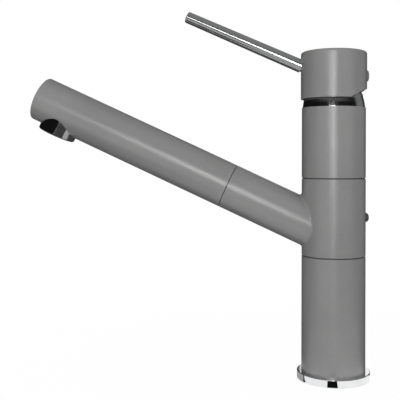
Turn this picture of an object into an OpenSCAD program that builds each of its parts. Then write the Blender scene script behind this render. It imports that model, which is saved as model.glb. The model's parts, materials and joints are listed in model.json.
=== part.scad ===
// Pull-out mixer tap. Millimetres, +Z up, origin at the centre of the foot on
// the worktop. The spout and the lever point along -X at rest.

/* [Column] */
// Diameter of the painted column
column_d = 46; // [44:0.5:50]
// Height of the column's top edge above the worktop
column_top_z = 196; // [194:1:200]
// Height of the seam under the swivelling section
lower_seam_z = 89; // [84:0.1:90]
// Height of the seam over the swivelling section
upper_seam_z = 145; // [138:0.5:150]
// Width of each seam
seam_gap = 0.9; // [0.7:0.1:1.5]
// Wall of the lower body
body_wall = 3.2; // [2.5:0.1:3.4]
// How far the chrome ring stands out round the column
ring_step = 3.2; // [1.5:0.1:6]
// Height of the chrome ring
ring_h = 5.6; // [4:0.1:8]
// Rounding of the ring's top edge
ring_round = 0.5; // [0.4:0.1:2]
// Thickness of the seal under the ring
seal_h = 1.6; // [1:0.1:2.5]
// Width of the seal under the ring
seal_w = 3; // [2:0.1:3.4]

/* [Spine] */
// Depth of the brass spine, which the spout turns on, under the column's surface
spine_inset = 5.5; // [5.4:0.1:6]
// Depth of the foot that carries the sockets
foot_h = 16; // [14:1:24]
// Depth of the three waterways' axes under the spine's surface
port_inset = 4.2; // [4.1:0.1:4.5]
// Angle between the mixed waterway and each inlet
port_angle = 46; // [45:1:50]
// Diameter of each waterway
waterway_d = 5.5; // [4:0.1:5.6]
// Drilled diameter of the M10x1 sockets
socket_d = 9; // [8.6:0.1:9.2]
// Depth of the M10x1 sockets
socket_depth = 12; // [8:1:14]
// Depth of the two fixing studs' axes under the foot's surface
stud_inset = 4.2; // [3.6:0.1:4.8]
// Drilled diameter of the M6 stud holes
stud_hole_d = 5; // [4.2:0.1:5.2]
// Depth of the stud holes
stud_depth = 12; // [8:1:14]
// Wall of the spine round the hose passage
passage_wall = 6.2; // [6.1:0.1:6.3]
// Where the passage's flat side stands behind the axis
passage_flat_x = 3.8; // [3.4:0.1:4]
// Depth of the window over the lower seam, down from it
window_below_seam = 4; // [2:1:8]
// Height of the window's top under the upper seam
window_under_seam = 20; // [16:1:22]
// Where the window's edge stands before the axis
window_edge_x = -2.5; // [-4:0.1:-1]

/* [Swivel] */
// Turn of the spout to each side
swivel_angle = 60; // [30:5:60]
// Wall of the bushes' sleeves
bush_wall = 1.55; // [1.3:0.05:1.7]
// Length of each bush's sleeve
bush_sleeve_h = 8; // [4:0.5:10]
// Thickness of each bush's flange
bush_flange_h = 0.7; // [0.4:0.1:0.7]
// Setback of the flanges from the column's surface
bush_setback = 0.6; // [0.4:0.1:1.5]
// Height of the stop screw
stop_screw_z = 116.7; // [112:0.1:118]
// Diameter of the stop screw's head
stop_head_d = 6.5; // [5:0.1:8]
// Height of the stop screw's head
stop_head_h = 2.4; // [0.8:0.1:2.5]
// Diameter of the stop screw's shank
stop_shank_d = 4; // [3:0.1:4.4]
// Reach of the stop screw's tip into its groove
stop_reach = 1.6; // [1:0.1:1.8]

/* [Spout] */
// Rise of the spout over the horizontal
spout_rise = 24.7; // [20:0.1:28]
// Height where the spout's axis meets the column's axis
spout_z = 103.5; // [102:0.5:106]
// Outside diameter of the arm and the handset
spout_d = 33.3; // [33:0.1:36]
// Wall of the arm
arm_wall = 3; // [2.6:0.1:3.2]
// Length from the column's axis to the handset's seam
arm_len = 84.7; // [82:0.1:100]
// Gap between the arm and the handset
dock_gap = 0.5; // [0.3:0.1:1]
// Length of the bush in the arm's mouth
dock_bush_len = 26; // [18:1:30]
// Bore of the bush in the arm's mouth
dock_bore_d = 23.6; // [22.8:0.1:24]

/* [Handset] */
// Length of the handset from the seam to its end
handset_len = 157; // [140:0.5:200]
// Wall of the handset's shell
shell_wall = 2.2; // [1.6:0.1:2.3]
// Thickness of the handset's closed end
end_wall = 3; // [2:0.1:5]
// Rounding of the handset's end
end_round = 1; // [0.5:0.1:3]
// Length of the tail behind the seam
tail_len = 20.5; // [18:0.5:24]
// Depth of the tail's flange in the shell
tail_flange_len = 8; // [5:0.5:10]
// Bore of the tail
tail_bore_d = 15; // [14:0.1:15.2]
// Width of the key that keeps the outlet pointing down
key_w = 3; // [2:0.1:4]
// Height of the key
key_h = 1; // [0.6:0.1:1.4]
// Bore of the waterway insert
insert_bore_d = 11; // [8:0.5:12]
// Outside diameter of the waterway insert's tube
insert_d = 16; // [15:0.1:18]

/* [Aerator] */
// Distance from the handset's end to the outlet's axis
outlet_from_end = 22.1; // [20:0.1:30]
// Outside diameter of the aerator's chrome collar
aerator_d = 28.2; // [27.4:0.1:28.4]
// How far the collar stands out under the handset
aerator_proud = 3.7; // [2:0.1:6]
// Diameter of the spigot's M24x1 thread
spigot_d = 23.8; // [23.4:0.1:24.2]
// Opening of the collar at the bottom
outlet_d = 19; // [17:0.5:20]
// Distance between the holes of the jet former
jet_pitch = 2.6; // [2.4:0.1:3.2]
// Width of the holes of the jet former
jet_hole_w = 1.8; // [1.2:0.1:2]

/* [Hose] */
// Outside diameter of the hose
hose_d = 12; // [10:0.5:12]
// Bore of the hose
hose_bore_d = 7.5; // [6:0.5:8]
// Gap between the hose and the front of its passage
hose_room = 0.3; // [0.3:0.1:1]
// Bend radius of the hose inside the column
hose_bend_r = 40; // [38:0.5:40.5]

/* [Cartridge] */
// Height of the pivot pin over the column
pivot_rise = 3; // [2.8:0.1:3.6]
// Distance from the pivot to the ball at the spindle's end
ball_drop = 10; // [9.6:0.1:10.2]
// Diameter of the ball
ball_d = 6.2; // [5.8:0.1:6.4]
// Wall of the upper body round the cartridge, which is 35 mm across in a 46 mm column
cartridge_wall = 5.4; // [5.2:0.1:6]
// Width of the shoulder that the nut presses on
shoulder_w = 2; // [1.8:0.1:2.4]
// Depth of the rotor under the cartridge's surface
rotor_inset = 4; // [3.8:0.1:4.6]
// Depth of the rotor's hub under the cartridge's surface
hub_inset = 6.1; // [6:0.1:6.6]
// Depth of the fixed ceramic disc under the cartridge's surface
fixed_disc_inset = 4.1; // [4:0.1:4.6]
// Depth of the moving ceramic disc under the cartridge's surface
moving_disc_inset = 6.5; // [6.3:0.1:7]
// Thickness of each ceramic disc
disc_h = 4; // [3:0.1:4.4]
// Thickness of the cartridge's base
base_h = 6; // [5:0.1:7]
// Diameter of the pivot pin
pin_d = 3; // [2.4:0.1:3.2]
// Lift of the lever
lift_angle = 25; // [15:1:25]
// Turn of the lever to each side
turn_angle = 45; // [30:5:50]
// Wall of the nut round the cartridge's neck
nut_wall = 3.9; // [3.7:0.1:4]
// Height of the nut over the cartridge's shoulder
nut_h = 10.5; // [9:0.5:11]

/* [Dome] */
// Step from the column in to the dome's foot
dome_step = 0.5; // [0.5:0.1:1.2]
// Height of the dome over the column
dome_h = 11.6; // [11.2:0.1:11.8]
// Gap round the rotor's hub in the dome's opening
dome_hole_gap = 2.6; // [2.3:0.1:3]
// Wall of the dome
dome_wall = 1.4; // [1:0.1:1.5]

/* [Handle] */
// How far the handle's cap stands out over the column
cap_step = 0.8; // [0.7:0.1:2]
// Height of the cap's lower edge over the column
cap_gap = 6.4; // [6:0.1:6.8]
// Height of the cap
cap_h = 34.1; // [32:0.1:38]
// Wall of the cap
cap_wall = 1.3; // [1.2:0.1:1.4]
// Thickness of the cap's roof
cap_roof = 3; // [2:0.1:4]
// Rounding of the cap's top edge
cap_round = 1.8; // [0.6:0.1:2.6]
// Rise of the slanting cut at the back of the cap
cap_cut_rise = 29; // [27:0.5:32]
// Where the cut at the back of the cap starts behind the axis
cap_cut_x = 10.5; // [8:0.5:11]
// Rise of the lever rod over the horizontal
rod_rise = 24; // [20:0.1:28]
// Height over the column where the rod's axis would meet the column's axis
rod_over = 20.2; // [19.6:0.1:22]
// Diameter of the rod at the cap
rod_root_d = 9.7; // [8:0.1:11]
// Diameter of the rod at its tip
rod_tip_d = 8.5; // [7:0.1:10]
// Distance from the column's axis to the rod's tip
rod_len = 118.2; // [90:0.1:150]
// Diameter of the thread that holds the rod in the cap
rod_thread_d = 7.8; // [5:0.1:8]
// Height of the grub screw and its plug over the column
grub_over = 23.2; // [22.2:0.1:23.4]
// Diameter of the grub screw
grub_d = 5; // [4:0.5:5.5]
// Diameter of the plug's head
plug_d = 8; // [7:0.1:9]
// Height of the plug's head
plug_h = 1.6; // [0.8:0.1:2.5]
// Width of the spindle along the lever
spindle_x = 8; // [7:0.1:8.2]
// Width of the spindle across the lever
spindle_y = 7; // [6:0.1:7.6]

/* [Clearances] */
// Radial gap of a turning or sliding fit
run_gap = 0.1; // [0.06:0.01:0.1]
// Radial gap between pieces that don't move on each other
seat_gap = 0.05; // [0.03:0.01:0.1]
// Gap between flat faces that pass each other
pass_gap = 0.2; // [0.1:0.05:0.3]
// Free gap round pieces that move past each other
free_gap = 0.3; // [0.25:0.05:0.4]

/* [Hidden] */
$fn = 96;
// Overrun of a cutting tool past the face that it cuts
cut = 1;
// Gap under the heads that stand on a round surface, and the height of their rims
head_gap = 0.1;
head_rim = 0.3;
// Hexagon sockets of the screws
hex_r = 1.35;
hex_depth = 0.7;

paint = [0.53, 0.53, 0.54];
chrome = [0.86, 0.87, 0.88];
brass = [0.80, 0.66, 0.36];
plastic = [0.25, 0.26, 0.28];
white_plastic = [0.88, 0.88, 0.86];
rubber = [0.12, 0.12, 0.12];
ceramic = [0.93, 0.92, 0.88];
steel = [0.62, 0.64, 0.66];

column_r = column_d / 2;
pivot_z = column_top_z + pivot_rise;
cap_z = column_top_z + cap_gap;
cap_top_z = cap_z + cap_h;
rod_z = column_top_z + rod_over;
grub_z = column_top_z + grub_over;
spine_r = column_r - spine_inset;
foot_r = column_r - body_wall - run_gap;
passage_r = spine_r - passage_wall;
port_r = spine_r - port_inset;
bush_r = spine_r + run_gap + bush_wall;
hose_x = passage_r - hose_d / 2 - hose_room;
window_low_z = lower_seam_z - window_below_seam;
window_top_z = upper_seam_z - window_under_seam;
swivel_low_z = lower_seam_z + seam_gap / 2;
swivel_top_z = upper_seam_z - seam_gap / 2;
lower_top_z = lower_seam_z - seam_gap / 2;
upper_low_z = upper_seam_z + seam_gap / 2;
swivel_bore_r = bush_r + seat_gap;
// The ledges of the lower body reach in to the spine
ledge_r = spine_r + seat_gap;
foot_ledge_h = 4;
top_ledge_h = 11;
// Rim between the base ring's bore and the groove of its seal
seal_rim = 0.8;
// Height that the spine's collar keeps on both sides of the stop groove
collar_rim = 3;
hot_xy = port_r * [cos(port_angle), sin(port_angle)];
cold_xy = port_r * [cos(port_angle), -sin(port_angle)];
mixed_xy = [port_r, 0];

cartridge_r = column_r - cartridge_wall - run_gap;
cartridge_neck_r = cartridge_r - shoulder_w;
rotor_r = cartridge_r - rotor_inset;
hub_r = cartridge_r - hub_inset;
moving_disc_r = cartridge_r - moving_disc_inset;
nut_r = cartridge_neck_r + nut_wall;
dome_r = column_r - dome_step;
dome_hole_r = hub_r + dome_hole_gap;

// Cartridge, stacked down from the ball at the spindle's end
ball_z = pivot_z - ball_drop;
spindle_neck_r = 2.2;
carrier_floor = 0.8;
carrier_low_z = ball_z - ball_d / 2 - free_gap - carrier_floor;
carrier_h = 6;
carrier_top_z = carrier_low_z + carrier_h;
moving_low_z = carrier_low_z - disc_h;
fixed_low_z = moving_low_z - disc_h;
seat_z = fixed_low_z - base_h;
shoulder_z = ball_z - 3;
rotor_low_z = carrier_top_z + 0.4;
rotor_top_z = pivot_z + 1.3;
hub_top_z = pivot_z + 6;
housing_wall = 2;
housing_top_z = rotor_top_z + pass_gap + housing_wall;
// Half the angle of the lug that stops the lever's turn, and of the notch it runs in
lug_half = 12;
lug_root = 1;
notch_half = turn_angle + lug_half + asin(free_gap / hub_r);
// Thickness of the rotor's legs
leg_w = 4.2;
// Film of grease between the ceramic discs
disc_film = 0.02;
chamber_r = moving_disc_r - 4;
chamber_h = 0.45 * disc_h;
peg_r = 1.2;
peg_len = 1.5;
// The pegs and the mixing chamber stay inside the moving disc's rim
peg_y = moving_disc_r - 3.4;
// Seals round the ports under the cartridge
port_seal_h = 1.2;
port_seal_w = 1;
// Foot of the spindle's square part under the pin
spindle_foot = 3.4;
disc_travel = 0.985 * ball_drop * lift_angle * PI / 180;
disc_x = disc_travel / 2;
inlet_port_x = -6.2;
inlet_port_y = 5.2;
outlet_port_x = 4.5;
inlet_port_d = 5.2;
outlet_port_d = 6;
// The bore across is a step smaller than the two that it joins
drill_step = 0.3;
inlet_cross_depth = 18;
outlet_cross_depth = 10;
inlet_cross_z = seat_z - inlet_cross_depth;
outlet_cross_z = seat_z - outlet_cross_depth;
pin_len = 2 * hub_r - 2 * free_gap;

// Handset, measured along the spout from the column's axis
shell_t = arm_len + dock_gap / 2;
arm_end_t = arm_len - dock_gap / 2;
// The arm's tube starts inside the column's wall
arm_root_t = column_r / 2;
end_t = arm_len + handset_len;
outlet_t = end_t - outlet_from_end;
spout_r = spout_d / 2;
arm_bore_r = spout_r - arm_wall;
shell_bore_r = spout_r - shell_wall;
tail_r = dock_bore_d / 2 - run_gap;
tail_low_t = arm_len - tail_len;
flange_end_t = shell_t + tail_flange_len;
nose_len = 7;
nose_r = tail_bore_d / 2 + 1.6;
o_ring_d = 1;
insert_socket_r = nose_r + seat_gap;
socket_wall = 2;
// Levels of the outlet, measured down from the spout's axis
collar_low = spout_r + aerator_proud;
collar_lip = 1;
collar_depth = 8;
spigot_low = spout_r - 1.8;
gasket_h = 1.2;
// Jet former and gasket inside the collar
former_r = spigot_d / 2 - free_gap;
former_wall = 1.2;
// Bore of the spigot, and where it starts over the spout's axis
spigot_bore_r = 9;
spigot_bore_top = -4.5;
spigot_top = -7;
// Collar that steadies the insert in the shell, behind the outlet
rib_back = 30;
rib_t = outlet_t - rib_back;
rib_len = 3;

// The hose's connector, washer and check valve, in the tail's bore
thread_len = 9;
washer_h = 1.5;
valve_t = tail_low_t + thread_len + washer_h;
valve_r = tail_bore_d / 2 - seat_gap;
valve_bore_r = 5.5;
valve_seat_r = 4;
valve_seat_h = 1.5;
spider_h = 2;
spider_hole_x = 3.6;
spider_hole_r = 1.2;
poppet_h = 1.8;
poppet_travel = 2.5;
// Room of the spring when it is pressed together
spring_room = 7.2;
valve_len = valve_seat_h + poppet_h + spring_room + poppet_travel + spider_h;
stem_r = 1.2;
poppet_nose = 1.2;
// Depth of the stem's end in its guide
stem_room = 0.5;
ferrule_len = 15;
connector_len = 12;
connector_r = tail_r - 1;
ferrule_end_t = tail_low_t - connector_len - ferrule_len;
ferrule_wall = 1.2;
hose_in_ferrule = 12;
// Length of the hexagon that the connector is tightened by
nut_len = 4;

// Angles and places that the hose follows
hose_turn = 90 - spout_rise;
hose_arc_x = -hose_x - hose_bend_r + hose_bend_r * cos(hose_turn);
hose_arc_z = spout_z - hose_arc_x * tan(spout_rise);
hose_bend_z = hose_arc_z - hose_bend_r * sin(hose_turn);
hose_low_z = 0.5;
hose_end_t = ferrule_end_t + hose_in_ferrule;
hose_sides = 12;
hose_arc_steps = 12;

// The dome's short spigot stands in the top of the upper body
spigot_wall = 0.4;
spigot_h = 3;

cap_r = column_r + cap_step;
cap_bore_r = cap_r - cap_wall;
cap_roof_z = cap_top_z - cap_roof;
boss_r = 7;
boss_low_z = pivot_z + 14.5;
grub_boss_r = grub_d / 2 + 1.2;
lug_r = rod_thread_d / 2 + 2.4;
lug_start = 11;
rod_seat = (cap_bore_r + cap_wall / 2) / cos(rod_rise);
// Room over the spindle's top and behind the rod's and the screw's ends
spindle_top_z = cap_roof_z - 1.5;
rod_end_room = 0.5;
// The grub screw ends under the plug's stem
plug_stem = 3;
screw_depth = plug_stem + 0.6;

// Places children in the spout's own frame: Z along the spout, X up
module along_spout() {
    translate([0, 0, spout_z]) rotate([0, spout_rise - 90, 0]) children();
}

// Places children in the lever rod's own frame: Z along the rod, X up
module along_rod() {
    translate([0, 0, rod_z]) rotate([0, rod_rise - 90, 0]) children();
}

// Turned part from an outline of [radius, height] points
module turned(outline) {
    rotate_extrude() polygon(outline);
}

// Plain ring between two heights
module ring(outer_r, inner_r, low, high) {
    turned([[inner_r, low], [outer_r, low], [outer_r, high], [inner_r, high]]);
}

// Plain cylinder between two heights
module cylinder_at(r, low, high) {
    translate([0, 0, low]) cylinder(r = r, h = high - low);
}

// Bar of a given radius from a low point up to a height
module post(xy, r, low, high) {
    translate([xy[0], xy[1], low]) cylinder(r = r, h = high - low);
}

// Points of a quarter arc, from the angle a0 to the angle a1
function arc(cx, cz, r, a0, a1, n = 8) =
    [for (i = [0:n]) [cx + r * cos(a0 + (a1 - a0) * i / n), cz + r * sin(a0 + (a1 - a0) * i / n)]];

module base_ring() {
    ring_r = column_r + ring_step;
    inner = foot_r + seat_gap;
    groove_in = inner + seal_rim;
    color(chrome)
    difference() {
        turned(concat(
            [[inner, 0], [ring_r, 0]],
            arc(ring_r - ring_round, ring_h - ring_round, ring_round, 0, 90),
            [[inner, ring_h]]
        ));
        translate([0, 0, -cut]) ring(groove_in + seal_w, groove_in, 0, seal_h + cut);
    }
}

module base_seal() {
    groove_in = foot_r + seat_gap + seal_rim;
    color(rubber) ring(groove_in + seal_w - seat_gap, groove_in + seat_gap, 0, seal_h);
}

module lower_body() {
    bore = foot_r + run_gap;
    color(paint) turned([
        [bore, ring_h], [column_r, ring_h], [column_r, lower_top_z], [ledge_r, lower_top_z],
        [ledge_r, lower_top_z - top_ledge_h], [bore, lower_top_z - top_ledge_h],
        [bore, foot_h + foot_ledge_h], [ledge_r, foot_h + foot_ledge_h], [ledge_r, foot_h], [bore, foot_h]
    ]);
}

// Bore up through the spine, then across and up again to its cartridge port
module channel(from, to, cross_z, port_d) {
    run = to - from;
    cross_r = min(waterway_d, port_d) / 2 - drill_step;
    post(from, waterway_d / 2, -cut, cross_z + waterway_d / 2);
    translate([from[0], from[1], cross_z])
        rotate([0, 90, atan2(run[1], run[0])]) cylinder(r = cross_r, h = norm(run));
    post(to, port_d / 2, cross_z - waterway_d / 2, seat_z + cut);
}

module spine() {
    collar_r = swivel_bore_r - free_gap;
    groove_half = swivel_angle + asin((stop_shank_d / 2 + free_gap) / collar_r);
    groove_r = swivel_bore_r - stop_reach - free_gap;
    groove_h = stop_shank_d + 2 * free_gap;
    collar_h = groove_h + 2 * collar_rim;
    color(brass)
    difference() {
        union() {
            cylinder(r = foot_r, h = foot_h);
            cylinder(r = spine_r, h = seat_z);
            translate([0, 0, stop_screw_z - collar_h / 2]) cylinder(r = collar_r, h = collar_h);
        }
        // Passage of the hose, open to the front at the window
        intersection() {
            translate([0, 0, -cut]) cylinder(r = passage_r, h = window_top_z + cut);
            translate([passage_flat_x - column_d, -column_r, -cut])
                cube([column_d, column_d, window_top_z + cut]);
        }
        translate([window_edge_x - column_d, -column_r, window_low_z])
            cube([column_d, column_d, window_top_z - window_low_z]);
        // Groove for the stop screw's tip
        rotate([0, 0, -groove_half]) rotate_extrude(angle = 2 * groove_half)
            translate([groove_r, stop_screw_z - groove_h / 2]) square([column_r, groove_h]);
        channel(hot_xy, [inlet_port_x, inlet_port_y], inlet_cross_z, inlet_port_d);
        channel(cold_xy, [inlet_port_x, -inlet_port_y], inlet_cross_z, inlet_port_d);
        channel(mixed_xy, [outlet_port_x, 0], outlet_cross_z, outlet_port_d);
        for (xy = [hot_xy, cold_xy, mixed_xy]) post(xy, socket_d / 2, -cut, socket_depth);
        for (side = [-1, 1]) post([0, side * (foot_r - stud_inset)], stud_hole_d / 2, -cut, stud_depth);
    }
}

module swivel_bush(flange_z, sleeve_z) {
    color(plastic) union() {
        ring(column_r - bush_setback, spine_r + run_gap, flange_z, flange_z + bush_flange_h);
        ring(bush_r, spine_r + run_gap, sleeve_z, sleeve_z + bush_sleeve_h);
    }
}

module lower_swivel_bush() {
    swivel_bush(swivel_low_z - bush_flange_h, swivel_low_z - bush_flange_h);
}

module upper_swivel_bush() {
    swivel_bush(swivel_top_z, swivel_top_z + bush_flange_h - bush_sleeve_h);
}

module swivel_body() {
    color(paint)
    difference() {
        union() {
            ring(column_r, swivel_bore_r - cut, swivel_low_z, swivel_top_z);
            along_spout() translate([0, 0, arm_root_t]) cylinder(r = spout_r, h = arm_end_t - arm_root_t);
        }
        translate([0, 0, swivel_low_z - cut])
            cylinder(r = swivel_bore_r, h = swivel_top_z - swivel_low_z + 2 * cut);
        along_spout() cylinder(r = arm_bore_r, h = arm_end_t + cut);
        stop_screw_bore(seat_gap);
    }
}

// Space of the stop screw, widened by a gap
module stop_screw_bore(gap) {
    translate([0, 0, stop_screw_z]) rotate([0, 90, 0])
        cylinder(d = stop_shank_d + 2 * gap, h = column_r + cut);
}

module stop_screw() {
    tip_x = swivel_bore_r - stop_reach;
    shank_r = stop_shank_d / 2;
    head_x = column_r + head_gap;
    rim_x = head_x + head_rim;
    crown_h = stop_head_h - head_gap - head_rim;
    color(chrome) translate([0, 0, stop_screw_z]) rotate([0, 90, 0])
    difference() {
        turned(concat(
            [[0, tip_x], [shank_r, tip_x], [shank_r, head_x], [stop_head_d / 2, head_x]],
            crown(stop_head_d / 2, rim_x, crown_h)
        ));
        translate([0, 0, head_x + stop_head_h - hex_depth]) cylinder(r = hex_r, h = 2 * hex_depth, $fn = 6);
    }
}

// Domed head of a screw or plug: quarter ellipse from its rim to its centre
function crown(r, rim_x, h) =
    [for (i = [0:8]) [r * cos(90 * i / 8), rim_x + h * sin(90 * i / 8)]];

module dock_bush() {
    low = arm_end_t - dock_bush_len;
    color(plastic) along_spout()
    difference() {
        ring(arm_bore_r - seat_gap, dock_bore_d / 2, low, arm_end_t);
        // Slot for the handset's key
        translate([-tail_r - key_h - free_gap, -key_w / 2 - free_gap, low - cut])
            cube([key_h + free_gap + cut, key_w + 2 * free_gap, dock_bush_len + 2 * cut]);
    }
}

module upper_body() {
    bore = max(spine_r, cartridge_r) + run_gap;
    nut_bore = nut_r + seat_gap;
    spigot = dome_r - dome_wall + spigot_wall + seat_gap;
    color(paint) turned([
        [bore, upper_low_z], [column_r, upper_low_z], [column_r, column_top_z],
        [spigot, column_top_z], [spigot, column_top_z - spigot_h], [nut_bore, column_top_z - spigot_h],
        [nut_bore, shoulder_z], [bore, shoulder_z]
    ]);
}

// The three ports through the cartridge's base and its fixed disc
module ports(low, high, grow = 0) {
    for (side = [-1, 1])
        post([inlet_port_x, side * inlet_port_y], inlet_port_d / 2 + grow, low, high);
    post([outlet_port_x, 0], outlet_port_d / 2 + grow, low, high);
}

module cartridge_base() {
    color(white_plastic)
    difference() {
        cylinder_at(cartridge_r - housing_wall - run_gap, seat_z, fixed_low_z);
        ports(seat_z - cut, fixed_low_z + cut);
        ports(seat_z - cut, seat_z + port_seal_h, port_seal_w);
    }
}

module cartridge_seals() {
    color(rubber)
    difference() {
        ports(seat_z, seat_z + port_seal_h, port_seal_w - seat_gap);
        ports(seat_z - cut, seat_z + port_seal_h + cut);
    }
}

module fixed_disc() {
    color(ceramic)
    difference() {
        cylinder_at(cartridge_r - fixed_disc_inset, fixed_low_z, moving_low_z);
        ports(fixed_low_z - cut, moving_low_z + cut);
    }
}

module moving_disc() {
    color(ceramic)
    difference() {
        post([disc_x, 0], moving_disc_r, moving_low_z + disc_film, carrier_low_z);
        // Mixing chamber that joins the ports when the disc slides
        post([disc_x + 1, 0], chamber_r, moving_low_z - cut, moving_low_z + chamber_h);
        disc_pegs(peg_r + seat_gap, peg_len + seat_gap, cut);
    }
}

// The two pegs that hold the moving disc on its carrier
module disc_pegs(r, depth, up) {
    for (side = [-1, 1]) post([disc_x, side * peg_y], r, carrier_low_z - depth, carrier_low_z + up);
}

module disc_carrier() {
    flat = rotor_fork_y() - free_gap / 2;
    color(plastic)
    difference() {
        union() {
            intersection() {
                post([disc_x, 0], moving_disc_r - free_gap, carrier_low_z, carrier_top_z);
                translate([-column_r, -flat, carrier_low_z])
                    cube([column_d, 2 * flat, carrier_h]);
            }
            disc_pegs(peg_r, peg_len, cut);
        }
        cylinder_at(ball_d / 2 + free_gap, carrier_low_z + carrier_floor, carrier_top_z + cut);
    }
}

// Half the width between the rotor's two legs
function rotor_fork_y() = rotor_r - leg_w;

module cartridge_housing() {
    inside = rotor_r + run_gap;
    floor_r = cartridge_r - housing_wall;
    lip = hub_r + free_gap;
    color(white_plastic)
    difference() {
        turned([
            [floor_r, seat_z], [cartridge_r, seat_z], [cartridge_r, shoulder_z],
            [cartridge_neck_r, shoulder_z], [cartridge_neck_r, housing_top_z], [lip, housing_top_z],
            [lip, rotor_top_z + pass_gap], [inside, rotor_top_z + pass_gap],
            [inside, shoulder_z - housing_wall], [floor_r, shoulder_z - 2 * housing_wall]
        ]);
        // Notch in the lip, its ends stop the rotor's lug
        rotate([0, 0, 90 - notch_half]) rotate_extrude(angle = 2 * notch_half)
            translate([hub_r, rotor_top_z + pass_gap - cut])
                square([rotor_r - hub_r, housing_wall + 2 * cut]);
    }
}

module cartridge_rotor() {
    leg_low = carrier_low_z + free_gap;
    slot_y = spindle_y / 2 + pass_gap;
    half = spindle_x / 2 / cos(lift_angle);
    front = ball_drop * sin(lift_angle) + ball_d / 2 + free_gap;
    back = half + (hub_top_z - pivot_z) * tan(lift_angle) + free_gap;
    color(plastic)
    difference() {
        union() {
            cylinder_at(rotor_r, rotor_low_z, rotor_top_z);
            cylinder_at(hub_r, rotor_top_z - cut, hub_top_z);
            // Lug that stops the lever's turn, with its root in the hub
            rotate([0, 0, 90 - lug_half]) rotate_extrude(angle = 2 * lug_half)
                translate([hub_r - lug_root, rotor_top_z - cut])
                    square([rotor_r - free_gap - hub_r + lug_root, housing_top_z - rotor_top_z + cut]);
            // Two legs that the disc carrier slides between
            for (side = [0, 180]) rotate([0, 0, side])
                intersection() {
                    cylinder_at(rotor_r, leg_low, rotor_low_z + cut);
                    translate([-column_r, rotor_fork_y(), leg_low])
                        cube([column_d, column_r, rotor_low_z + cut - leg_low]);
                }
        }
        // Slot that the spindle tilts in, wider to the front below the pin
        translate([-half - free_gap, -slot_y, rotor_low_z - cut])
            cube([2 * half + 2 * free_gap, 2 * slot_y, hub_top_z - rotor_low_z + 2 * cut]);
        translate([-front, -slot_y, rotor_low_z - cut])
            cube([front, 2 * slot_y, pivot_z - rotor_low_z + cut]);
        translate([0, -slot_y, pivot_z])
            cube([back, 2 * slot_y, hub_top_z - pivot_z + cut]);
        pin_space(seat_gap);
    }
}

module pin_space(gap) {
    translate([0, pin_len / 2 + gap, pivot_z]) rotate([90, 0, 0])
        cylinder(d = pin_d + 2 * gap, h = pin_len + 2 * gap);
}

module pivot_pin() {
    color(steel) pin_space(0);
}

module spindle() {
    stem_low = pivot_z - spindle_foot;
    color(brass)
    difference() {
        union() {
            translate([-spindle_x / 2, -spindle_y / 2, stem_low])
                cube([spindle_x, spindle_y, spindle_top_z - stem_low]);
            cylinder_at(spindle_neck_r, ball_z, stem_low + cut);
            translate([0, 0, ball_z]) sphere(d = ball_d);
        }
        translate([0, column_r, pivot_z]) rotate([90, 0, 0])
            cylinder(d = pin_d + 2 * run_gap, h = column_d);
    }
}

module cartridge_nut() {
    bore = cartridge_neck_r + seat_gap;
    top = shoulder_z + nut_h;
    color(brass) union() {
        ring(nut_r, bore, shoulder_z, column_top_z);
        difference() {
            translate([0, 0, column_top_z]) cylinder(r = nut_r, h = top - column_top_z, $fn = 6);
            cylinder_at(bore, column_top_z - cut, top + cut);
        }
    }
}

module dome_cover() {
    bore = dome_r - dome_wall;
    low = seat_gap - spigot_h;
    outside = dome_outline(dome_r, dome_h);
    inside = dome_outline(bore, dome_h - dome_wall);
    color(chrome) translate([0, 0, column_top_z])
    rotate_extrude() polygon(concat(
        [[bore, low], [bore + spigot_wall, low], [bore + spigot_wall, 0], [dome_r, 0]],
        outside,
        [for (i = [len(inside) - 1:-1:0]) inside[i]]
    ));
}

// Dome outline from its foot to its opening: a slow lean, then a round shoulder
function dome_outline(r, h) =
    concat(
        [[r, 0.3], [r - 0.4, 0.28 * h], [r - 1, 0.52 * h], [r - 1.6, 0.7 * h]],
        arc(r - 5.6, 0.7 * h - 0.3, 4.2, 15, 90, 6),
        [[dome_hole_r, h]]
    );

// Slanting cut under the cap's back, which clears the column when the lever lifts
module cap_cut() {
    translate([cap_cut_x, 0, cap_z]) rotate([0, -cap_cut_rise, 0])
        translate([-cap_wall, -column_d, -column_d]) cube([2 * column_d, 2 * column_d, column_d]);
}

module handle_cap() {
    socket_x = spindle_x / 2 + seat_gap;
    socket_y = spindle_y / 2 + seat_gap;
    color(paint)
    difference() {
        union() {
            difference() {
                turned(concat(
                    [[0, cap_z], [cap_r, cap_z]],
                    arc(cap_r - cap_round, cap_top_z - cap_round, cap_round, 0, 90),
                    [[0, cap_top_z]]
                ));
                cylinder_at(cap_bore_r, cap_z - cut, cap_roof_z);
            }
            cylinder_at(boss_r, boss_low_z, cap_roof_z + cut);
            intersection() {
                union() {
                    translate([0, 0, grub_z]) rotate([0, 90, 0]) cylinder(r = grub_boss_r, h = cap_r);
                    along_rod() translate([0, 0, lug_start]) cylinder(r = lug_r, h = cap_r);
                }
                cylinder_at(cap_bore_r + cap_wall / 2, boss_low_z - cut, cap_roof_z + cut);
            }
        }
        cap_cut();
        // Socket for the spindle
        translate([-socket_x, -socket_y, boss_low_z - cut])
            cube([2 * socket_x, 2 * socket_y, spindle_top_z + free_gap - boss_low_z + cut]);
        // Grub screw's thread, and the seat of its plug
        translate([0, 0, grub_z]) rotate([0, 90, 0]) cylinder(d = grub_d + 2 * seat_gap, h = cap_r + cut);
        // Lever rod's thread and its counterbore
        along_rod() translate([0, 0, lug_start + 1]) cylinder(d = rod_thread_d + 2 * seat_gap, h = cap_r);
        along_rod() translate([0, 0, rod_seat]) cylinder(d = rod_root_d + 2 * seat_gap, h = cap_r);
    }
}

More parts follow.
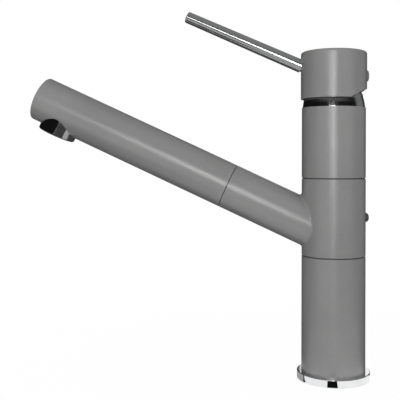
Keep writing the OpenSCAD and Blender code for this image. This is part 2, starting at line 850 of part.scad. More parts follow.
module lever_rod() {
    thread_r = rod_thread_d / 2;
    root_r = rod_root_d / 2;
    tip_r = rod_tip_d / 2;
    edge = 0.7;
    low = lug_start + 1 + rod_end_room;
    start = rod_seat + seat_gap;
    color(chrome) along_rod() turned(concat(
        [[0, low], [thread_r, low], [thread_r, start], [root_r, start]],
        arc(tip_r - edge, rod_len - edge, edge, 0, 90, 4),
        [[0, rod_len]]
    ));
}

module grub_screw() {
    r = grub_d / 2;
    low = spindle_x / 2 + seat_gap;
    high = cap_r - screw_depth;
    color(steel) translate([0, 0, grub_z]) rotate([0, 90, 0])
    difference() {
        turned([[0, low], [r - 1, low], [r, low + 1], [r, high], [0, high]]);
        translate([0, 0, high - 3 * hex_depth]) cylinder(r = hex_r, h = 4 * hex_depth, $fn = 6);
    }
}

module index_plug() {
    stem = grub_d / 2;
    low = cap_r - plug_stem;
    head_x = cap_r + head_gap;
    color(paint) translate([0, 0, grub_z]) rotate([0, 90, 0])
    turned(concat(
        [[0, low], [stem, low], [stem, head_x], [plug_d / 2, head_x]],
        crown(plug_d / 2, head_x + head_rim, plug_h - head_gap - head_rim)
    ));
}

module handset_shell() {
    color(paint) along_spout()
    difference() {
        turned(concat(
            [[0, shell_t], [spout_r, shell_t]],
            arc(spout_r - end_round, end_t - end_round, end_round, 0, 90),
            [[0, end_t]]
        ));
        cylinder_at(shell_bore_r, shell_t - cut, end_t - end_wall);
        // Opening for the aerator in the underside
        outlet_bar(aerator_d / 2 + pass_gap, 0, spout_d);
    }
}

// Round bar square to the spout, between two depths under its axis
module outlet_bar(r, from, to) {
    translate([0, 0, outlet_t]) rotate([0, -90, 0]) translate([0, 0, from]) cylinder(r = r, h = to - from);
}

module waterway_insert() {
    low = flange_end_t + seat_gap;
    socket_t = flange_end_t + nose_len + free_gap;
    color(white_plastic) along_spout()
    difference() {
        union() {
            cylinder_at(insert_d / 2, low, outlet_t);
            cylinder_at(insert_socket_r + socket_wall, low, socket_t + socket_wall);
            outlet_bar(spigot_d / 2, spigot_top, spigot_low);
            cylinder_at(shell_bore_r - seat_gap, rib_t, rib_t + rib_len);
        }
        cylinder_at(insert_socket_r, flange_end_t, socket_t);
        cylinder_at(insert_bore_d / 2, flange_end_t, outlet_t);
        outlet_bar(spigot_bore_r, spigot_bore_top, spigot_low + cut);
    }
}

module handset_tail() {
    groove_t = flange_end_t + nose_len / 2;
    groove_half = o_ring_d / 2 + seat_gap;
    low = tail_low_t;
    step = arm_end_t + run_gap;
    lead_in = 2.5;
    key_start = 6;
    color(plastic) along_spout()
    difference() {
        union() {
            turned([
                [0, low], [tail_r - 1, low], [tail_r, low + lead_in], [tail_r, step],
                [shell_bore_r - seat_gap, step], [shell_bore_r - seat_gap, flange_end_t],
                [nose_r, flange_end_t], [nose_r, flange_end_t + nose_len], [0, flange_end_t + nose_len]
            ]);
            // Key on the underside
            translate([-tail_r - key_h, -key_w / 2, low + key_start])
                cube([key_h + cut, key_w, step - low - key_start]);
        }
        cylinder_at(tail_bore_d / 2, low - cut, flange_end_t + nose_len + cut);
        ring(nose_r + cut, nose_r - o_ring_d, groove_t - groove_half, groove_t + groove_half);
    }
}

module waterway_ring() {
    groove_t = flange_end_t + nose_len / 2;
    color(rubber) along_spout() translate([0, 0, groove_t]) rotate_extrude()
        translate([nose_r - o_ring_d / 2, 0]) circle(d = o_ring_d, $fn = 24);
}

module check_valve_body() {
    high = valve_t + valve_len;
    color(white_plastic) along_spout()
    difference() {
        cylinder_at(valve_r, valve_t, high);
        cylinder_at(valve_seat_r, valve_t - cut, high - spider_h);
        cylinder_at(valve_bore_r, valve_t + valve_seat_h, high - spider_h);
        cylinder_at(stem_r + run_gap, high - spider_h - cut, high + cut);
        for (a = [0:60:300]) rotate([0, 0, a])
            post([spider_hole_x, 0], spider_hole_r, high - spider_h - cut, high + cut);
    }
}

module check_valve_poppet() {
    low = valve_t + valve_seat_h + seat_gap;
    nose = low - poppet_nose;
    rim = valve_bore_r - free_gap - seat_gap;
    top = low + poppet_h;
    stem_top = valve_t + valve_len - stem_room;
    color(plastic) along_spout() turned([
        [0, nose], [valve_seat_r - 2 * free_gap, nose], [valve_seat_r - free_gap, low], [rim, low],
        [rim, top], [stem_r, top], [stem_r, stem_top], [0, stem_top]
    ]);
}

// Coil spring as one swept wire, its rings worked out by a helix
module check_valve_spring() {
    wire_r = 0.35;
    coil_r = 3;
    turns = 5;
    steps = 12;
    sides = 6;
    low = valve_t + valve_seat_h + poppet_h + 2 * seat_gap + wire_r;
    high = valve_t + valve_len - spider_h - seat_gap - wire_r;
    count = turns * steps;
    wire = [for (i = [0:count], k = [0:sides - 1])
        let (a = 360 * i / steps, b = 360 * k / sides, r = coil_r + wire_r * cos(b))
        [r * cos(a), r * sin(a), low + (high - low) * i / count + wire_r * sin(b)]];
    color(steel) along_spout() polyhedron(points = wire, faces = tube_faces(count, sides));
}

// Triangles between the rings of a swept tube
function tube_walls(count, sides) =
    [for (i = [0:count - 1], k = [0:sides - 1])
        let (n = (k + 1) % sides, a = i * sides, b = (i + 1) * sides)
        each [[a + k, b + k, b + n], [a + k, b + n, a + n]]];

// The same with closed ends
function tube_faces(count, sides) = concat(
    tube_walls(count, sides),
    [[for (k = [0:sides - 1]) k]],
    [[for (k = [sides - 1:-1:0]) count * sides + k]]
);

module hose_connector() {
    face = tail_low_t - run_gap;
    hex_low = face - connector_len;
    bore = hose_bore_d / 2 - 0.6;
    thread_end = tail_low_t + thread_len;
    color(chrome) along_spout()
    difference() {
        union() {
            cylinder_at(tail_bore_d / 2 - seat_gap, face - cut, thread_end);
            cylinder_at(connector_r, hex_low + nut_len, face);
            translate([0, 0, hex_low]) cylinder(r = connector_r, h = nut_len + cut, $fn = 6);
            cylinder_at(hose_d / 2 + ferrule_wall, ferrule_end_t, hex_low + cut);
        }
        cylinder_at(bore, ferrule_end_t - cut, thread_end + cut);
        cylinder_at(hose_d / 2 + seat_gap, ferrule_end_t - cut, hose_end_t + seat_gap);
    }
}

module hose_washer() {
    color(rubber) along_spout()
        ring(tail_bore_d / 2 - seat_gap, valve_seat_r, tail_low_t + thread_len, valve_t);
}

// Stations of the hose's centre line: [x, z, turn from upright]
function hose_route() =
    let (centre_x = -hose_x - hose_bend_r, slope = 90 - hose_turn)
    concat(
        [for (i = [0:2]) [-hose_x, hose_low_z + (hose_bend_z - hose_low_z) * i / 3, 0]],
        [for (i = [0:hose_arc_steps])
            let (a = hose_turn * i / hose_arc_steps)
            [centre_x + hose_bend_r * cos(a), hose_bend_z + hose_bend_r * sin(a), a]],
        [[-hose_end_t * cos(slope), spout_z + hose_end_t * sin(slope), hose_turn]]
    );

// Rings of points round the route
function hose_rings(route, r) =
    [for (s = route, k = [0:hose_sides - 1])
        let (b = 360 * k / hose_sides)
        [s[0] + r * cos(b) * cos(s[2]), r * sin(b), s[1] + r * cos(b) * sin(s[2])]];

// The hose rises through the passage, bends out of the window and runs along the arm
module pullout_hose() {
    route = hose_route();
    count = len(route) - 1;
    inner = (count + 1) * hose_sides;
    wall = tube_walls(count, hose_sides);
    color(steel) polyhedron(
        points = concat(hose_rings(route, hose_d / 2), hose_rings(route, hose_bore_d / 2)),
        faces = concat(
            wall,
            [for (f = wall) [f[0] + inner, f[2] + inner, f[1] + inner]],
            [for (k = [0:hose_sides - 1])
                let (n = (k + 1) % hose_sides) each [[k, n, inner + k], [n, inner + n, inner + k]]],
            [for (k = [0:hose_sides - 1])
                let (n = (k + 1) % hose_sides, e = count * hose_sides)
                each [[e + n, e + k, inner + e + k], [e + n, inner + e + k, inner + e + n]]]
        )
    );
}

// Turned part about the outlet's axis, outline in [radius, depth] under the spout's axis
module outlet_turned(outline) {
    along_spout() translate([0, 0, outlet_t]) rotate([0, -90, 0]) turned(outline);
}

module aerator_housing() {
    r = aerator_d / 2;
    top = spout_r - collar_depth;
    bevel = 0.8;
    thread = spigot_d / 2 + seat_gap;
    color(chrome) outlet_turned([
        [thread, top], [r, top], [r, collar_low - bevel], [r - bevel, collar_low],
        [outlet_d / 2, collar_low], [outlet_d / 2, collar_low - collar_lip], [thread, collar_low - collar_lip]
    ]);
}

module aerator_gasket() {
    high = spigot_low + gasket_h;
    color(rubber) outlet_turned([
        [spigot_bore_r, spigot_low], [former_r, spigot_low], [former_r, high], [spigot_bore_r, high]
    ]);
}

module aerator_insert() {
    top = spigot_low + gasket_h;
    low = collar_low - collar_lip;
    rows = floor(outlet_d / jet_pitch / 2);
    color(white_plastic) along_spout() translate([0, 0, outlet_t]) rotate([0, -90, 0])
    difference() {
        cylinder_at(former_r, top, low);
        cylinder_at(former_r - former_wall, top - cut, low - former_wall);
        // Square grid of jets inside the collar's opening
        for (i = [-rows:rows], j = [-rows:rows])
            if (norm([i, j]) * jet_pitch < outlet_d / 2 - jet_hole_w)
                translate([i * jet_pitch, j * jet_pitch, low - former_wall / 2])
                    cube([jet_hole_w, jet_hole_w, former_wall + 2 * cut], center = true);
    }
}

base_ring();
base_seal();
lower_body();
spine();
lower_swivel_bush();
upper_swivel_bush();
swivel_body();
stop_screw();
dock_bush();
upper_body();
cartridge_base();
cartridge_seals();
fixed_disc();
cartridge_housing();
cartridge_nut();
dome_cover();
cartridge_rotor();
pivot_pin();
moving_disc();
disc_carrier();
spindle();
handle_cap();
lever_rod();
grub_screw();
index_plug();
handset_shell();
waterway_insert();
handset_tail();
waterway_ring();
check_valve_body();
check_valve_poppet();
check_valve_spring();
hose_connector();
hose_washer();
pullout_hose();
aerator_housing();
aerator_insert();
aerator_gasket();
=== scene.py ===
import json
import math

import bpy
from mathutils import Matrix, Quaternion, Vector


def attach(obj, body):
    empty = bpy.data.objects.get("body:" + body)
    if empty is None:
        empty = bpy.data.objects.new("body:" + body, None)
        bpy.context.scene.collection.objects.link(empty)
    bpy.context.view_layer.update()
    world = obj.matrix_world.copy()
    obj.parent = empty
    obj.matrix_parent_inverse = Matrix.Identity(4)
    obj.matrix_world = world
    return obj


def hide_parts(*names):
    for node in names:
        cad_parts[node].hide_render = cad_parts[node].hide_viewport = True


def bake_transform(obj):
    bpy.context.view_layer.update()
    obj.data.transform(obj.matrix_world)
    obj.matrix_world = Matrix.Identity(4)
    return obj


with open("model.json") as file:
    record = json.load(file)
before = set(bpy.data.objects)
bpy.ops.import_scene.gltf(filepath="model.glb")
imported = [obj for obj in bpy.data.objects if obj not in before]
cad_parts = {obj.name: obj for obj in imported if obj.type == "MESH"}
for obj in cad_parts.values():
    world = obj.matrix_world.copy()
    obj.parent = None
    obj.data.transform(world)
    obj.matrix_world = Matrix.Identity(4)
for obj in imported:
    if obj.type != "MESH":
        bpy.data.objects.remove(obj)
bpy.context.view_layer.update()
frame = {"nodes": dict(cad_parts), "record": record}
MM = 0.001

# Sizes of the CAD that the modelled pieces keep to, in millimetres. Ends of the arm, the hose
# and the spring are counted along the spout's axis, from the column's.
# Middle section of the column, with the hole of its stop screw
COLUMN_R = 23.0
SWIVEL_LOW, SWIVEL_TOP, SWIVEL_BORE_R = 89.45, 144.55, 19.2
SWIVEL_H = SWIVEL_TOP - SWIVEL_LOW
STOP_Z, STOP_BORE_R = 116.7, 2.05
# Spout and its arm
SPOUT_Z, SPOUT_R, RISE = 103.5, 16.65, math.radians(24.7)
ARM_END, ARM_BORE_R = 84.45, 13.65
SPOUT_FOOT = Vector((0.0, 0.0, SPOUT_Z))
SPOUT_AXIS = Vector((-math.cos(RISE), 0.0, math.sin(RISE)))
# Turn that lays the Z axis along the spout
ALONG_SPOUT = (0.0, RISE - math.pi / 2, 0.0)
# Pull-out hose
HOSE_X, HOSE_LOW, HOSE_END = -5.0, 0.5, 49.2
HOSE_R, HOSE_BEND_R, HOSE_WALL = 6.0, 40.0, 2.25
# Spring of the check valve
SPRING_LOW, SPRING_HIGH = 78.45, 87.3
COIL_R, WIRE_R, COIL_TURNS = 3.0, 0.35, 5

# Weld fillet round the arm's root, in millimetres, and how near its edges run to both tubes
WELD_WIDTH, WELD_STEPS, WELD_NEAR = 2.2, 6, 0.03
# How far a cutting tool reaches past the face that it cuts, in millimetres
OVERRUN = 5
# Run of the hose between two points, in millimetres from the end of its bend
STRETCH_FROM, STRETCH_TO = 0.1, 5.7
# Braid of the hose: strands round it, and millimetres along it for each crossing
BRAID_STRANDS, BRAID_PITCH = 14.0, 3.4

# Sides of the round pieces, and steps along them
COLUMN_SIDES, ARM_SIDES, SCREW_SIDES = 128, 96, 32
WALL_CUTS = 20
HOSE_SIDES, RISING_STEPS, BEND_STEPS, ARM_STEPS = 32, 26, 20, 18
WIRE_SIDES, COIL_STEPS = 10, 16

# Camera fitted to the edges in the photo: pixels, millimetres and degrees
PHOTO_PX, FOCAL_PX = 400.0, 715.9
SHIFT_PX = (-15.2, -39.7)
SENSOR_MM = 36.0
CAMERA_AT = (-30.9, -527.6, 157.8)
CAMERA_TURN = (90, -0.138, 6.036)

# Lamps: name, bearing from the camera's side in degrees to the right, distance, height and
# size in metres, watts, whether metal mirrors them, and tilt about their own axis in degrees
LAMPS = (
    ("key", -2.5, 1.3, 0.30, (0.17, 0.46), 1.4, True, 0.0),
    ("spout_strip", -13.0, 1.05, 0.35, (0.34, 0.20), 0.46, True, -24.7),
    ("fill_behind", 177.0, 1.3, 0.30, (1.0, 0.9), 6.0, False, 0.0),
    ("fill_top", -10.0, 0.9, 1.25, (0.9, 0.7), 3.4, False, 0.0),
    ("fill_left", -50, 1.3, 0.25, (1.0, 0.9), 6.4, False, 0.0),
    ("fill_right", 47, 1.3, 0.25, (1.0, 0.9), 8.2, False, 0.0),
)
LAMP_AIM = Vector((0, 0, 0.14))
WORLD_LIGHT = 0.25

# Floor of white paper, in metres: near the tap PAPER_GLOW of what it shows is its own white,
# and that share grows to all of it. Light that bounces off it meets the grey PAPER_BOUNCE.
FLOOR_SIZE = 8.0
PAPER_GLOW, GLOW_FROM, GLOW_TO = 0.98, 0.10, 0.45
PAPER_BOUNCE = 0.6

# Studio room that only reflections show, in metres, with its opening behind the tap in degrees
ROOM_R, ROOM_H, ROOM_SIDES = 1.8, 2.2, 60
OPENING_TOP, OPENING_FROM, OPENING_TO = 0.8, -2, 10
# Greys of its wall low and high up, and the heights between which the one turns into the other
WALL_LOW, WALL_HIGH, WALL_FROM, WALL_TO = 0.006, 0.20, 1.0, 1.5
# Grey that the wall has more at the right behind, where it grows, and how softly it starts
SIDE_GLOW, SIDE_FROM, SIDE_TO, SIDE_BLUR = 0.15, 1.0, 1.5, 0.3
# Greys of the other cards that reflections show
BLACK, TABLE_GREY, MIDDLE_GREY = 0.006, 0.05, 0.38
# Round cards on the floor: name, inner and outer radius in metres, height in millimetres,
# grey, and which side of the plane y = CARD_SPLIT millimetres is kept
ROUND_CARDS = (
    ("table_flag", 0.06, 1.75, 0.1, "table_card", "both"),
    ("rear_flag", 0.0, 0.07, 0.12, "table_card", "rear"),
    ("near_flag", 0.046, 0.24, 0.2, "middle_card", "front"),
)
CARD_SPLIT, CARD_SIDES = 5, 64
# Straight cards on the floor: name, place and size in millimetres, turn in degrees, grey
STRAIGHT_CARDS = (
    ("rod_card", (-360, -500, 0.4), (480, 600), 0, "middle_card"),
    ("ring_card", (-32.5, 11.2, 0.2), (40, 40), -21, "middle_card"),
    ("ring_line", (-40.1, -8.5, 0.3), (40, 2), -21, "black_card"),
)
# Black wedge in front of the ring: its near edge is moved out and widened
WEDGE_AT, WEDGE_SIZE, WEDGE_TURN = (-1.8, -26.1, 0.3), (7.4, 1.0), -6.5
WEDGE_REACH, WEDGE_SPREAD = (-2.5, -22), 2.5


class Value:
    """A shader socket that takes part in ordinary arithmetic."""

    def __init__(self, finish, socket):
        self.finish = finish
        self.socket = socket

    def math(self, operation, *others):
        inputs = dict(enumerate((self, *others)))
        return self.finish.node("ShaderNodeMath", {"operation": operation}, inputs)

    def __add__(self, other):
        return self.math("ADD", other)

    def __sub__(self, other):
        return self.math("SUBTRACT", other)

    def __rsub__(self, other):
        return self * -1.0 + other

    def __mul__(self, other):
        return self.math("MULTIPLY", other)

    __radd__ = __add__
    __rmul__ = __mul__

    def step(self, low, high, out_low=0.0, out_high=1.0):
        """Smooth change from out_low to out_high as the value goes from low to high."""
        limits = {"From Min": low, "From Max": high, "To Min": out_low, "To Max": out_high}
        return self.finish.node(
            "ShaderNodeMapRange", {"interpolation_type": "SMOOTHSTEP"}, {"Value": self, **limits},
        )


class Finish:
    """One procedural surface finish, laid out on Object coordinates."""

    def __init__(self, name, **constants):
        self.material = bpy.data.materials.new(name)
        self.material.use_nodes = True
        self.tree = self.material.node_tree
        self.shader = self.tree.nodes["Principled BSDF"]
        for socket, value in constants.items():
            self.shader.inputs[socket.replace("_", " ")].default_value = value
        self.place = self.node("ShaderNodeTexCoord", {}, {}, "Object")

    def node(self, kind, settings, inputs, output=0):
        """New node: its settings, its inputs as values or constants, and the output it gives."""
        made = self.tree.nodes.new(kind)
        for key, value in settings.items():
            if key == "stops":
                ramp = made.color_ramp
                while len(ramp.elements) < len(value):
                    ramp.elements.new(0.5)
                for element, (at, colour) in zip(ramp.elements, value):
                    element.position = at
                    element.color = (*colour, 1.0)
            else:
                setattr(made, key, value)
        for key, value in inputs.items():
            if isinstance(value, Value):
                self.tree.links.new(value.socket, made.inputs[key])
            else:
                made.inputs[key].default_value = value
        return Value(self, made.outputs[output])

    def feed(self, socket, value):
        """Drive one input of the shader."""
        self.tree.links.new(value.socket, self.shader.inputs[socket])

    def only(self, surface):
        """Use this shader in place of the Principled one."""
        self.tree.nodes.remove(self.shader)
        self.tree.links.new(surface.socket, self.tree.nodes["Material Output"].inputs["Surface"])

    def stretched(self, x, y, z):
        """Object coordinates scaled along each axis."""
        return self.node("ShaderNodeMapping", {}, {"Vector": self.place, "Scale": (x, y, z)})

    def along_spout(self):
        """Object coordinates turned so that Z runs along the spout's axis."""
        return self.node(
            "ShaderNodeMapping", {"vector_type": "TEXTURE"},
            {"Vector": self.place, "Location": (0.0, 0.0, SPOUT_Z * MM), "Rotation": ALONG_SPOUT},
        )

    def noise(self, size_mm, detail=2.0, roughness=0.5, place=None):
        """Noise with features of about size_mm."""
        look = {"Scale": 1000.0 / size_mm, "Detail": detail, "Roughness": roughness}
        return self.node("ShaderNodeTexNoise", {}, {"Vector": place or self.place, **look})

    def cells(self, size_mm):
        """Distance to the middles of cells of about size_mm."""
        return self.node(
            "ShaderNodeTexVoronoi", {"feature": "F1"},
            {"Vector": self.place, "Scale": 1000.0 / size_mm},
        )

    def part(self, axis, place=None):
        """One coordinate of the place on the piece, in metres."""
        return self.node("ShaderNodeSeparateXYZ", {}, {"Vector": place or self.place}, axis)

    def ramp(self, value, *stops):
        """Colour that follows the value between stops, each a value and its colour."""
        return self.node("ShaderNodeValToRGB", {"stops": stops}, {"Fac": value})

    def mix(self, factor, a, b):
        """Colour a where the factor is 0, and b where it is 1."""
        colours = [c if isinstance(c, Value) else (*c, 1.0) for c in (a, b)]
        return self.node(
            "ShaderNodeMix", {"data_type": "RGBA", "clamp_factor": True},
            {0: factor, 6: colours[0], 7: colours[1]}, 2,
        )

    def relief(self, height, depth_mm, strength):
        """Bumps of depth_mm, on the shader's normal."""
        bump = self.node(
            "ShaderNodeBump", {},
            {"Height": height, "Distance": depth_mm * MM, "Strength": strength},
        )
        self.feed("Normal", bump)


def grey_scale(level, warm=0.0):
    """Grey, with a little more red and less blue where it is warm."""
    return (level * (1 + warm), level, level * (1 - warm))


def granular_paint():
    """Semi-matt grey enamel with a fine mineral grain."""
    paint = Finish(
        "granular_grey_paint", IOR=1.5, Specular_IOR_Level=1.0,
        Coat_Weight=1.0, Coat_IOR=1.8, Coat_Roughness=0.32,
    )
    warmth = 0.004
    grain = paint.noise(0.55, detail=3.0, roughness=0.65)
    flecks = paint.cells(0.8)
    cloud = paint.noise(35.0)
    base = paint.ramp(
        grain * 0.7 + cloud * 0.3,
        (0.30, grey_scale(0.21, warmth)),
        (0.52, grey_scale(0.26, warmth)),
        (0.74, grey_scale(0.32, warmth)),
    )
    dark = flecks.step(0.10, 0.26, 1.0, 0.0) * 0.35
    paint.feed("Base Color", paint.mix(dark, base, grey_scale(0.14)))
    paint.feed("Roughness", grain * 0.10 + 0.31)
    paint.relief(grain * 0.7 + flecks * 0.3, depth_mm=0.02, strength=0.5)
    return paint


def chrome_plate(name):
    """Chrome with a faint haze, which is given back with it."""
    chrome = Finish(name, Metallic=1.0)
    haze = chrome.noise(9.0, detail=4.0, roughness=0.6)
    tone = chrome.ramp(haze, (0.25, (0.77, 0.78, 0.79)), (0.75, (0.87, 0.875, 0.88)))
    chrome.feed("Base Color", tone)
    return chrome, haze


def polished_chrome():
    """Mirror chrome with fine polishing spots."""
    chrome, haze = chrome_plate("polished_chrome_plate")
    spots = chrome.noise(0.9, roughness=0.7)
    chrome.feed("Roughness", haze * 0.06 + spots.step(0.55, 0.75) * 0.05 + 0.03)
    chrome.relief(haze, depth_mm=0.02, strength=0.35)
    return chrome


def satin_chrome():
    """Chrome over a softer polish, as on the dome and the rod."""
    chrome, haze = chrome_plate("satin_chrome_plate")
    chrome.feed("Roughness", haze * 0.05 + 0.13)
    return chrome


def machined_brass():
    """Turned brass with tool marks and a light tarnish."""
    brass = Finish("machined_brass", Metallic=1.0)
    marks = brass.noise(0.25, roughness=0.6, place=brass.stretched(0.02, 0.02, 1.0))
    tarnish = brass.noise(14.0, detail=5.0, roughness=0.6)
    tone = brass.ramp(tarnish, (0.3, (0.60, 0.43, 0.18)), (0.7, (0.76, 0.57, 0.28)))
    brass.feed("Base Color", tone)
    brass.feed("Roughness", tarnish * 0.2 + marks * 0.12 + 0.14)
    brass.relief(marks, depth_mm=0.02, strength=0.6)
    return brass


def bright_steel():
    """Drawn steel with fine lines along it."""
    steel = Finish("bright_steel", Metallic=1.0)
    lines = steel.noise(0.3, roughness=0.6, place=steel.stretched(0.03, 1.0, 1.0))
    tone = steel.ramp(lines, (0.3, (0.46, 0.47, 0.49)), (0.7, (0.62, 0.63, 0.65)))
    steel.feed("Base Color", tone)
    steel.feed("Roughness", lines * 0.14 + 0.18)
    steel.relief(lines, depth_mm=0.015, strength=0.5)
    return steel


def blackened_steel():
    """Oil-blackened screw steel, rubbed brighter here and there."""
    steel = Finish("blackened_steel", IOR=1.5)
    rub = steel.noise(1.6, detail=4.0, roughness=0.6)
    fine = steel.noise(0.2, roughness=0.6)
    tone = steel.ramp(rub, (0.35, grey_scale(0.085)), (0.75, grey_scale(0.15)))
    steel.feed("Base Color", tone)
    steel.feed("Metallic", rub.step(0.5, 0.8) * 0.5 + 0.3)
    steel.feed("Roughness", fine * 0.15 + 0.32)
    steel.relief(fine, depth_mm=0.01, strength=0.5)
    return steel


def moulded_plastic(name, low, high, rough):
    """Moulded plastic with a spark-eroded texture and slight flow marks."""
    plastic = Finish(name, IOR=1.5)
    texture = plastic.noise(0.35, detail=3.0, roughness=0.6)
    flow = plastic.noise(12.0, detail=3.0, roughness=0.55)
    plastic.feed("Base Color", plastic.ramp(flow * 0.6 + texture * 0.4, (0.3, low), (0.7, high)))
    plastic.feed("Roughness", texture * 0.15 + rough)
    plastic.relief(texture, depth_mm=0.02, strength=0.5)
    return plastic


def seal_rubber():
    """Matt black rubber with a light bloom."""
    rubber = Finish("seal_rubber", IOR=1.5)
    bloom = rubber.noise(4.0, detail=4.0, roughness=0.6)
    skin = rubber.noise(0.3, roughness=0.6)
    tone = rubber.ramp(bloom, (0.35, grey_scale(0.012)), (0.75, grey_scale(0.035)))
    rubber.feed("Base Color", tone)
    rubber.feed("Roughness", bloom * 0.15 + 0.6)
    rubber.relief(skin, depth_mm=0.02, strength=0.6)
    return rubber


def lapped_ceramic():
    """Pale ceramic, lapped nearly smooth."""
    ceramic = Finish("lapped_ceramic", IOR=1.7)
    grains = ceramic.noise(0.2, detail=3.0, roughness=0.6)
    tone = ceramic.ramp(grains, (0.3, (0.80, 0.79, 0.75)), (0.7, (0.90, 0.89, 0.86)))
    ceramic.feed("Base Color", tone)
    ceramic.feed("Roughness", grains * 0.1 + 0.12)
    ceramic.relief(grains, depth_mm=0.004, strength=0.4)
    return ceramic


def woven_braid():
    """Braided sleeve: two sets of strands that wind against each other, over and under, with
    painted shade in the creases between the strands.
    """
    braid = Finish("hose_braid", IOR=1.5)
    place = braid.along_spout()
    angle = braid.part(1, place).math("ARCTAN2", braid.part(0, place))
    around = angle * (BRAID_STRANDS / math.tau)
    along = braid.part(2, place) * (1000.0 / BRAID_PITCH)
    right = (around + along).math("FRACT")
    left = (around - along).math("FRACT")
    right_ridge = 1.0 - (right - 0.5).math("ABSOLUTE") * 2.0
    left_ridge = 1.0 - (left - 0.5).math("ABSOLUTE") * 2.0
    crossing = (around * math.tau).math("SINE") * (along * math.tau).math("SINE")
    over = crossing.step(-0.2, 0.2)
    height = right_ridge * over + left_ridge * (1.0 - over)
    tuft = braid.noise(0.25, roughness=0.6)
    # Painted shade: the colour follows the strands' height, darker towards their edges and darkest
    # in the creases between them
    tone = braid.ramp(
        height * 0.7 + tuft * 0.3,
        (0.15, grey_scale(0.05)), (0.45, grey_scale(0.20)), (0.85, grey_scale(0.42)),
    )
    braid.feed("Base Color", tone)
    braid.feed("Roughness", tuft * 0.2 + 0.32)
    braid.feed("Metallic", height.step(0.2, 0.6) * 0.6)
    braid.relief(height * 0.85 + tuft * 0.15, depth_mm=0.25, strength=0.9)
    return braid


# The record's slots, and below them the finishes of single nodes
FINISHES = {
    "grey_paint": granular_paint(),
    "chrome_plate": polished_chrome(),
    "cast_brass": machined_brass(),
    "steel": bright_steel(),
    "dark_plastic": moulded_plastic("dark_plastic", grey_scale(0.022), grey_scale(0.045), 0.42),
    "white_plastic": moulded_plastic("white_plastic", (0.66, 0.66, 0.63), (0.78, 0.78, 0.76), 0.35),
    "seal_rubber": seal_rubber(),
    "ceramic": lapped_ceramic(),
    "hose_braid": woven_braid(),
    "satin_chrome": satin_chrome(),
    "blackened_steel": blackened_steel(),
    "grey_plastic": moulded_plastic("grey_plastic", grey_scale(0.07), grey_scale(0.11), 0.42),
}
# Nodes that look different from the rest of their slot
OWN_FINISH = {
    "dome_cover": "satin_chrome",
    "lever_rod": "satin_chrome",
    "stop_screw": "blackened_steel",
    "lower_swivel_bush": "grey_plastic",
    "upper_swivel_bush": "grey_plastic",
}


def paint_cad_nodes():
    """Give every CAD node the finish of its slot, or the one of its own."""
    for part in frame["record"]["subparts"]:
        mesh = frame["nodes"][part["node"]].data
        mesh.materials.clear()
        slot = OWN_FINISH.get(part["node"], part["material_slot"])
        mesh.materials.append(FINISHES[slot].material)


def mode(name):
    bpy.ops.object.mode_set(mode=name)


def pick(piece):
    """Select one piece and nothing else."""
    bpy.ops.object.select_all(action="DESELECT")
    piece.select_set(True)
    bpy.context.view_layer.objects.active = piece


def clear_picks(kind):
    """Deselect all of the active piece, so that its edges, faces or corners can be picked."""
    mode("EDIT")
    bpy.ops.mesh.select_mode(type=kind)
    bpy.ops.mesh.select_all(action="DESELECT")
    mode("OBJECT")


def settle():
    """Put the place, turn and scale of the picked piece into its mesh."""
    bpy.ops.object.transform_apply(location=True, rotation=True, scale=True)


def applied(piece, kind, **settings):
    """Put a modifier on a piece and apply it."""
    pick(piece)
    modifier = piece.modifiers.new(kind.lower(), kind)
    for key, value in settings.items():
        setattr(modifier, key, value)
    bpy.ops.object.modifier_apply(modifier=modifier.name)


def smoothed(piece, degrees):
    """Shade a piece smooth, apart from edges that are sharper than this."""
    pick(piece)
    bpy.ops.object.shade_smooth_by_angle(angle=math.radians(degrees))


def bar(name, radius, start, way, length, sides):
    """Round bar from a point along a direction, in millimetres."""
    way = Vector(way).normalized()
    middle = (Vector(start) + way * length / 2) * MM
    bpy.ops.object.select_all(action="DESELECT")
    bpy.ops.mesh.primitive_cylinder_add(
        vertices=sides, radius=radius * MM, depth=length * MM,
        location=middle, rotation=way.to_track_quat("Z", "Y").to_euler(),
    )
    made = bpy.context.object
    made.name = name
    settle()
    return made


def cut_away(piece, tool):
    """Cut a tool's shape out of a piece, and remove the tool."""
    applied(piece, "BOOLEAN", operation="DIFFERENCE", object=tool, solver="EXACT")
    bpy.data.objects.remove(tool)


def spout_distance(point):
    """Distance of a point from the spout's axis, in millimetres."""
    offset = point / MM - SPOUT_FOOT
    return (offset - SPOUT_AXIS * offset.dot(SPOUT_AXIS)).length


def column_distance(point):
    """Distance of a point from the column's axis, in millimetres."""
    return math.hypot(point.x, point.y) / MM


def on_weld(point):
    """True where the arm's surface meets the column's."""
    beside_column = abs(column_distance(point) - COLUMN_R) < WELD_NEAR
    return beside_column and abs(spout_distance(point) - SPOUT_R) < WELD_NEAR


def tidy_normals(piece):
    """Merge doubled points and turn every face outwards."""
    pick(piece)
    mode("EDIT")
    bpy.ops.mesh.select_all(action="SELECT")
    bpy.ops.mesh.remove_doubles(threshold=0.001 * MM)
    bpy.ops.mesh.normals_make_consistent(inside=False)
    mode("OBJECT")


